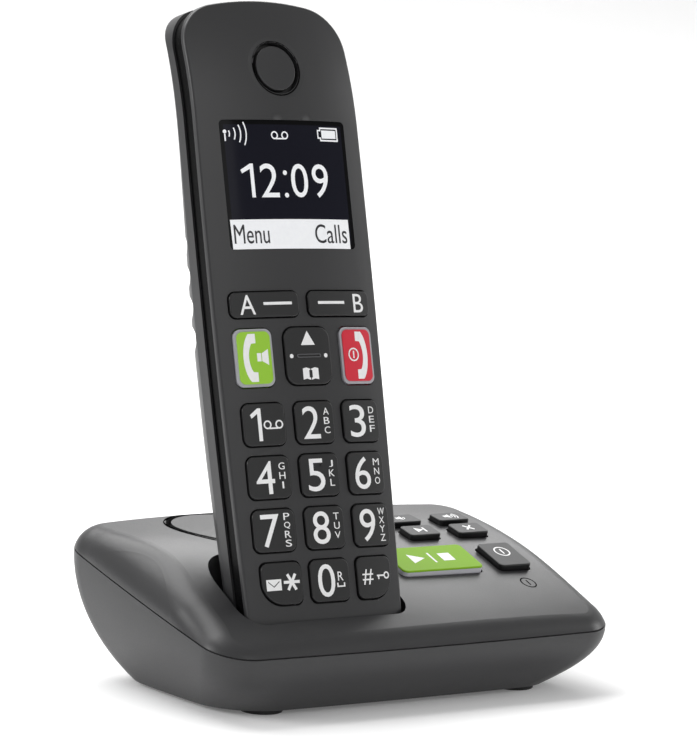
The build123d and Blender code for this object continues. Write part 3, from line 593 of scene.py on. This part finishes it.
def voicemail(size):
    """Two reels joined along the bottom; size is the outer radius of a reel."""
    inner, gap = size * 0.66, size * 1.5
    reels = ring(-gap, 0, size, inner) + ring(gap, 0, size, inner)
    return reels + bar(0, -size * 0.83, gap * 1.5, size * 0.34)


def key_sign():
    """A key lying on its side, its ring to the right."""
    return ring(1.45, 0, 0.95, 0.55) + bar(-0.65, 0, 2.3, 0.42) + bar(-1.25, -0.58, 0.45, 0.75)


def envelope():
    """Closed envelope with the line of its flap."""
    flap = [(-1.6, 1.0), (0.0, -0.35), (1.6, 1.0), (1.6, 0.72), (0.0, -0.65), (-1.6, 0.72)]
    return bar(0, 0, 4.2, 2.8) + [flap]


def asterisk(size, thick):
    """Six arms as one star outline."""
    points = []
    for arm in range(6):
        angle = math.radians(60 * arm)
        along, beside = Vector((math.cos(angle), math.sin(angle))), Vector((-math.sin(angle), math.cos(angle)))
        notch = Vector((math.cos(angle + math.radians(30)), math.sin(angle + math.radians(30)))) * thick
        for corner in (along * size - beside * thick / 2, along * size + beside * thick / 2, notch):
            points.append((corner.x, corner.y))
    return [points]


def space_mark():
    """A tray, open at its top, that stands for the space."""
    half = [(-0.85, 0.55), (-1.25, 0.55), (-1.25, -0.55)]
    return [[*half, *mirrored([half])[0][::-1], (0.85, -0.2), (-0.85, -0.2)]]


LETTERS = {2: "ABC", 3: "DEF", 4: "GHI", 5: "JKL", 6: "MNO", 7: "PQRS", 8: "TUV", 9: "WXYZ"}


def numeral_one(x, y, width, height, stroke):
    """A one with its flag: an upright stem at the right and a slanting stroke to the left."""
    right, top, left = width / 2, height / 2, -width / 2
    points = [(right, top), (right, -top), (right - stroke, -top), (right - stroke, top - 1.35 * stroke),
              (left + 0.25 * stroke, top - 2.5 * stroke), (left - 0.15 * stroke, top - 1.6 * stroke),
              (right - 0.9 * stroke, top)]
    return at(x, y, [points])


def number_legends():
    """Digits, letters and signs of the twelve number keys."""
    for digit in range(1, 10):
        name = f"key_{digit}"
        words = stacked(LETTERS.get(digit, ""))
        if digit == 1:
            shapes = at(2.4, -0.1, voicemail(1.12)) + numeral_one(-2.4, 0.0, 2.9, DIGIT_HEIGHT, 1.0)
        else:
            shapes = []
            words.append((str(digit), DIGIT_X, 0.0, DIGIT_WIDTH, DIGIT_HEIGHT))
        face = face_of(name, RIGHT, handset_up)
        legend(name + "_legend", face, surface_of(name), ink, name, words, shapes)
    zero = face_of("key_0", RIGHT, handset_up)
    words = [("0", DIGIT_X, 0.0, DIGIT_WIDTH, DIGIT_HEIGHT), ("R", 3.1, 0.9, 1.7, 2.3)]
    legend("key_0_legend", zero, surface_of("key_0"), ink, "key_0", words, at(3.1, -1.3, space_mark()))
    star = face_of("key_star", RIGHT, handset_up)
    signs = at(-2.5, -0.2, envelope()) + at(2.6, 0.3, asterisk(2.3, 0.75))
    legend("key_star_legend", star, surface_of("key_star"), ink, "key_star", shapes=signs)
    hatch = face_of("key_hash", RIGHT, handset_up)
    words = [("#", -2.3, 0.2, 3.6, 3.9)]
    legend("key_hash_legend", hatch, surface_of("key_hash"), ink, "key_hash", words, at(2.55, 0.4, key_sign()))


# ---------------------------------------------------------------- legends of the call keys
def receiver():
    """Telephone receiver seen from the side, its back to the left."""
    back = ellipse(1.35, 0, 3.35, 6.9, points=15, start=118, sweep=124)
    inner = ellipse(2.6, 0, 3.05, 5.0, points=11, start=226, sweep=-92)
    top_block = [(-0.2, 6.1), (1.75, 6.1), (1.75, 3.7), (0.5, 3.6)]
    low_block = [(0.5, -3.6), (1.75, -3.7), (1.75, -6.1), (-0.2, -6.1)]
    return [top_block + inner[::-1] + low_block + back[::-1]]


def horn():
    """Small loudspeaker: a box and its flared horn."""
    return bar(-0.9, 0, 1.15, 2.1) + [[(-0.1, -1.0), (1.75, -2.05), (1.75, 2.05), (-0.1, 1.0)]]


def power_sign(radius, stroke, bar_height):
    return ring(0, 0, radius, radius - stroke) + bar(0, 0, stroke * 1.1, bar_height)


def open_book():
    """Two facing pages with a thin gap between them."""
    left = [(-2.4, 1.35), (-1.3, 1.6), (-0.15, 1.25), (-0.15, 0.95), (-0.5, 0.95), (-0.5, -1.0), (-0.15, -1.0),
            (-0.15, -1.6), (-1.3, -1.25), (-2.4, -1.5)]
    return [left] + mirrored([left])


def call_legends():
    """Signs of the talk, end and rocker keys, the rocker's ridge and the pip on the five."""
    talk = face_of("talk_key", RIGHT, handset_up)
    signs = at(-1.3, 0, receiver()) + at(2.05, 0.1, horn())
    legend("talk_key_legend", talk, surface_of("talk_key"), ink, "talk_key", shapes=signs)
    end = face_of("end_key", RIGHT, handset_up)
    signs = at(1.35, 0, mirrored(receiver())) + at(-1.35, 0.2, power_sign(1.75, 0.36, 1.9))
    legend("end_key_legend", end, surface_of("end_key"), ink, "end_key", shapes=signs)
    rocker = face_of("nav_key", RIGHT, handset_up)
    triangle = [[(-2.15, 2.75), (2.15, 2.75), (0, 6.35)]]
    dots = [ellipse(-5.3, 0, 0.55, points=20), ellipse(5.3, 0, 0.55, points=20)]
    signs = triangle + dots + at(0.1, -4.6, open_book())
    legend("nav_key_legend", rocker, surface_of("nav_key"), ink, "nav_key", shapes=signs)
    ridge = legend("nav_key_ridge", rocker, surface_of("nav_key"), grey_ridge, "nav_key",
                   shapes=pill(0, 0, 7.4, 0.95) + pill(0, 0, 6.8, 0.5), lift=0.22)
    pip = legend("key_5_pip", face_of("key_5", RIGHT, handset_up), surface_of("key_5"), key_cap, "key_5",
                 shapes=[ellipse(0.6, 2.6, 0.35, points=16)], lift=0.3)


def soft_legends():
    """The letter and the line on each of the two keys under the display."""
    left = face_of("soft_key_a", RIGHT, handset_up)
    legend("soft_key_a_legend", left, surface_of("soft_key_a"), ink, "soft_key_a",
           [("A", -5.2, 0.0, 4.4, 5.0)], bar(3.6, 0.2, 8.4, 0.72))
    right = face_of("soft_key_b", RIGHT, handset_up)
    legend("soft_key_b_legend", right, surface_of("soft_key_b"), ink, "soft_key_b",
           [("B", 6.3, 0.0, 3.3, 4.8)], bar(-2.7, 0.2, 8.6, 0.72))


# ---------------------------------------------------------------- the display's picture
def signal_sign():
    """Aerial with three waves going out to the right."""
    mast = [ellipse(0, 0.75, 0.5, points=16)] + bar(0, -0.75, 0.38, 1.9)
    waves = []
    for reach in (1.9, 3.5, 5.1, 6.7):
        waves += arc(-0.4, 0.2, reach, reach - 0.34, -27, 54)
    return mast + waves


def battery_sign():
    """Lying battery, its cap to the left, with a full charge inside."""
    outer = [(-3.4, 1.15), (-2.6, 1.15), (-2.6, 1.8), (3.4, 1.8)]
    inner = [(-3.05, 0.8), (-2.25, 0.8), (-2.25, 1.4), (3.0, 1.4)]
    case = [half + [(x, -y) for x, y in reversed(half)] for half in (outer, inner)]
    return case + bar(0.35, 0, 4.7, 2.1)


def display_picture():
    """Icons, clock and the pale strip of words on the display."""
    face = face_of("display_window", RIGHT, handset_up)
    middle = face.local(middle_of("display_window"))
    face = face.moved(middle.x, middle.y)
    glass = surface_of("display_window")
    top_row, clock_row, foot_row = 12.9, 1.0, -12.8
    signs = at(-18.0, top_row, signal_sign()) + at(-1.9, top_row - 0.2, voicemail(1.05))
    signs += at(13.6, top_row + 0.3, battery_sign())
    legend("display_icons", face, glass, lit, "handset", shapes=signs)
    digits = [("2", -6.3, 5.4), ("0", 3.0, 5.3), ("9", 9.7, 5.2)]
    words = [(text, x, clock_row, width, 8.7) for text, x, width in digits]
    colon = [ellipse(-1.4, clock_row + side * 2.9 - 0.9, 0.62, points=20) for side in (-1, 1)]
    signs = colon + numeral_one(-12.6, clock_row, 3.6, 8.7, 1.0)
    legend("display_clock", face, glass, lit, "handset", words, signs)
    strip = plate(-0.55, foot_row, 36.6, 7.6, 24)
    strip.name = strip.data.name = "display_soft_key_strip"
    tidy_mesh(strip)
    drape(strip, face, glass, PROUD)
    give(strip, lit)
    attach(strip, "handset")
    words = [("Menu", -13.0, foot_row + 0.05, 10.2, 4.9), ("Calls", 11.6, foot_row + 0.05, 10.6, 4.9)]
    legend("display_soft_key_words", face, glass, dark_segments, "handset", words, lift=2 * PROUD)


# ---------------------------------------------------------------- legends of the base
def small_horn(waves):
    """Loudspeaker sign with a number of waves."""
    shapes = bar(-1.6, 0, 0.8, 1.2) + [[(-1.1, -0.6), (0.0, -1.3), (0.0, 1.3), (-1.1, 0.6)]]
    for index in range(waves):
        reach = 1.0 + 0.8 * index
        shapes += arc(0.0, 0, reach, reach - 0.32, -45, 90, 10)
    return shapes


def base_legends():
    """Signs on the base keys and the small power mark below them."""
    triangle = [(-1.6, 1.3), (-1.6, -1.3), (0.8, 0.0)]
    play = [(-7.2, 2.3), (-7.2, -2.3), (-2.6, 0.0)]
    signs = {
        "volume_down_key": small_horn(1),
        "volume_up_key": small_horn(3),
        "next_key": [triangle] + bar(1.3, 0, 0.55, 2.6),
        "previous_key": mirrored([triangle] + bar(1.3, 0, 0.55, 2.6)),
        "delete_key": diagonal_cross(),
        "power_key": at(0, 1.2, power_sign(2.4, 0.42, 2.4)),
        "play_stop_key": [play] + bar(-0.2, 0, 0.6, 5.0) + bar(4.6, 0, 3.8, 3.8),
    }
    for name, shapes in signs.items():
        legend(name + "_legend", base_face(name), surface_of(name), ink, name, shapes=shapes)
    below_power_key = (0.0454, -0.0215, 0.03)
    mark = Face(below_power_key, RIGHT, Vector((0, 1, 0)))
    top = surface_of("base_top_housing")
    legend("power_mark", mark, top, black_ink_and_gap_shade, "base", shapes=power_sign(2.3, 0.34, 2.2))


def gap_seals():
    """Black rings painted as shade in the gaps round the loudspeaker disc and the earpiece disc."""
    speaker = face_of("speaker_disc", RIGHT, base_out.cross(RIGHT))
    earpiece = face_of("earpiece_disc", RIGHT, handset_up)
    shade_rings = (
        ("speaker_gap_shade", speaker, "base_top_housing", "base", 15.85, 16.6),
        ("earpiece_gap_shade", earpiece, "handset_front_shell", "handset", 7.02, 7.35),
    )
    for name, face, around, body, inner, outer in shade_rings:
        # each ring is black laid on the surround: painted shade in the gap, not a part
        legend(name, face, surface_of(around), black_ink_and_gap_shade, body, shapes=ring(0, 0, outer, inner), lift=0.05)


def diagonal_cross():
    """Two crossing bars as one outline, so that the middle stays filled."""
    size, thick = 1.75, 0.58
    points = []
    for turn in range(4):
        angle = math.radians(45 + 90 * turn)
        along, beside = Vector((math.cos(angle), math.sin(angle))), Vector((-math.sin(angle), math.cos(angle)))
        notch = (along + beside) * thick / 2
        for corner in (along * size - beside * thick / 2, along * size + beside * thick / 2, notch):
            points.append((corner.x, corner.y))
    return [points]


number_legends()
call_legends()
soft_legends()
display_picture()
base_legends()
gap_seals()


# ---------------------------------------------------------------- floor, light and camera
def backdrop():
    """Pale floor that curves up into a wall behind the object."""
    bpy.ops.mesh.primitive_plane_add(size=1, location=(0, 0, 0))
    sweep = bpy.context.object
    sweep.name = "backdrop"
    sweep.data.transform(Matrix.Diagonal((9.0, 6.0, 1.0, 1.0)))
    bpy.ops.object.mode_set(mode="EDIT")
    bpy.ops.mesh.select_all(action="DESELECT")
    bpy.ops.object.mode_set(mode="OBJECT")
    for edge in sweep.data.edges:
        edge.select = all(sweep.data.vertices[i].co.y > 0 for i in edge.vertices)
    bpy.ops.object.mode_set(mode="EDIT")
    bpy.ops.mesh.select_mode(type="EDGE")
    bpy.ops.mesh.extrude_region_move(TRANSFORM_OT_translate={"value": (0, 0, 3.5)})
    bpy.ops.object.mode_set(mode="OBJECT")
    bend = sweep.modifiers.new("bend", "BEVEL")
    bend.width = 1.6
    bend.segments = 24
    bpy.ops.object.modifier_apply(modifier="bend")
    bpy.ops.object.shade_smooth()
    sweep.data.transform(Matrix.Rotation(math.radians(-36), 4, "Z"))
    return sweep


def studio():
    """Pale floor and backdrop, a broad soft light above and softer ones at the sides."""
    sweep = backdrop()
    paper = Finish("pale_floor", 0.9, Specular_IOR_Level=0.0)
    paper.set("Base Color", paper.colours(paper.noise(12.0), (0.9, 0.9, 0.9, 1), (0.92, 0.92, 0.92, 1)))
    paper.set("Emission Color", (1, 1, 1, 1))
    paper.set("Emission Strength", 0.12)
    give(sweep, paper.material)
    lights = (
        ("ceiling_light", (-0.2, 0.9, 1.6), (0, 0, 0.0), 1.6, 30.0),
        ("back_light", (1.0, 1.1, 1.2), (0, 0, 0.03), 0.9, 9.0),
        ("right_light", (1.3, -0.35, 0.55), (0, 0, 0.1), 0.45, 3.0),
        ("left_light", (-1.5, 0.3, 0.8), (0, 0, 0.08), 0.6, 12.0),
        ("front_light", (0.3, -1.8, 1.2), (0, 0, 0.08), 0.9, 4.0),
    )
    for name, place, target, size, power in lights:
        light = bpy.data.lights.new(name, "AREA")
        light.shape = "SQUARE"
        light.size = size
        light.energy = power
        lamp = bpy.data.objects.new(name, light)
        lamp.location = place
        lamp.rotation_euler = (Vector(target) - Vector(place)).to_track_quat("-Z", "Y").to_euler()
        bpy.context.scene.collection.objects.link(lamp)
    world = bpy.data.worlds.new("studio")
    world.use_nodes = True
    world.node_tree.nodes["Background"].inputs["Color"].default_value = (1, 1, 1, 1)
    world.node_tree.nodes["Background"].inputs["Strength"].default_value = 0.42
    bpy.context.scene.world = world


def camera():
    """Long lens, a little above the base, seen from the left and turned a few degrees about its axis."""
    place = Vector((-0.55239, -0.75144, 0.18721))
    forward = Vector((0.58739, 0.80142, -0.11273)).normalized()
    level = forward.cross(Vector((0, 0, 1))).normalized()
    upright = level.cross(forward)
    roll = math.radians(3.0)
    right = level * math.cos(roll) + upright * math.sin(roll)
    up = upright * math.cos(roll) - level * math.sin(roll)
    lens = bpy.data.cameras.new("camera")
    lens.lens = 172.31
    lens.sensor_width = 36.0
    viewer = bpy.data.objects.new("camera", lens)
    viewer.matrix_world = Matrix.Translation(place) @ Matrix((right, up, -forward)).transposed().to_4x4()
    bpy.context.scene.collection.objects.link(viewer)
    bpy.context.scene.camera = viewer


studio()
camera()
bpy.context.scene.view_settings.view_transform = "Standard"
